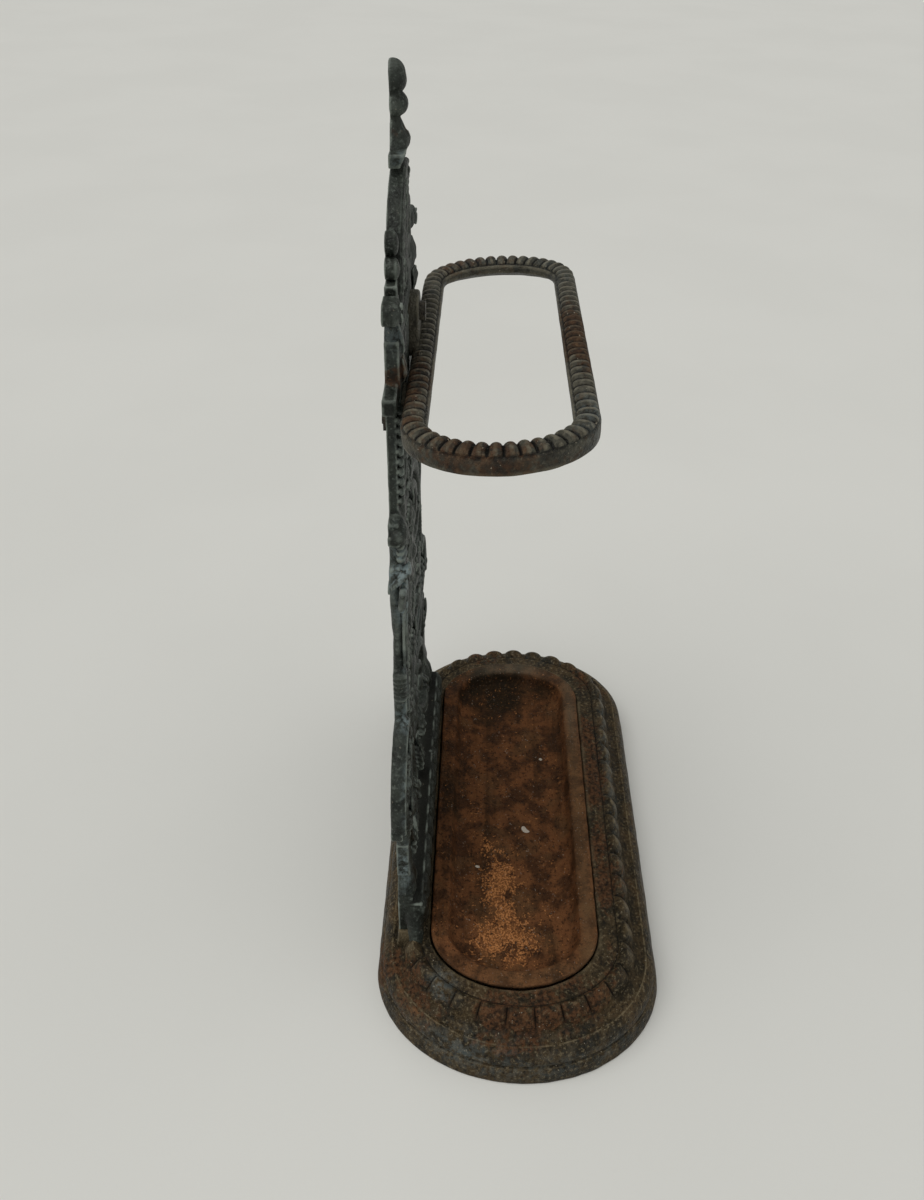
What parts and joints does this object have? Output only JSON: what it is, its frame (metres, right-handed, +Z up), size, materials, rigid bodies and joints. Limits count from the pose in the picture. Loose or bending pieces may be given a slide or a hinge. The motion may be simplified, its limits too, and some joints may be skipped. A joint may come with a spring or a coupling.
{
  "type": "umbrella stand",
  "caption": "Oblong cast-iron umbrella stand: moulded base with lift-out drip tray, pierced upright back panel and a ribbed oblong hoop bolted to it.",
  "frame": {"origin": "centre of the base's footprint on the floor", "axes": "+Z up, -Y the front (the side where the hoop is), X along the base"},
  "size_m": [0.44, 0.214, 0.6035],
  "materials": {
    "base_iron": "old dark green-brown paint over iron, worn and rusty",
    "tray_iron": "bare iron, heavily rusted",
    "panel_iron": "dark green-black paint, dull, with pale worn edges",
    "hoop_iron": "dark green-black paint with brown rust along the front and ends",
    "fastener_iron": "dull, oxidised"
  },
  "bodies": {
    "stand": {"base_casting": "base_iron", "back_panel": "panel_iron", "umbrella_hoop": "hoop_iron", "hoop_bolt_centre": "fastener_iron", "hoop_bolt_left": "fastener_iron", "hoop_bolt_right": "fastener_iron", "hoop_nut_centre": "fastener_iron", "hoop_nut_left": "fastener_iron", "hoop_nut_right": "fastener_iron", "foot_bolt_left": "fastener_iron", "foot_bolt_right": "fastener_iron", "foot_washer_left": "fastener_iron", "foot_washer_right": "fastener_iron"},
    "tray": {"drip_tray": "tray_iron"}
  },
  "joints": [
    {"name": "tray_lift", "type": "slide", "parent": "stand", "child": "tray", "axis": [0, 0, 1], "range_m": [0, 0.12]}
  ]
}
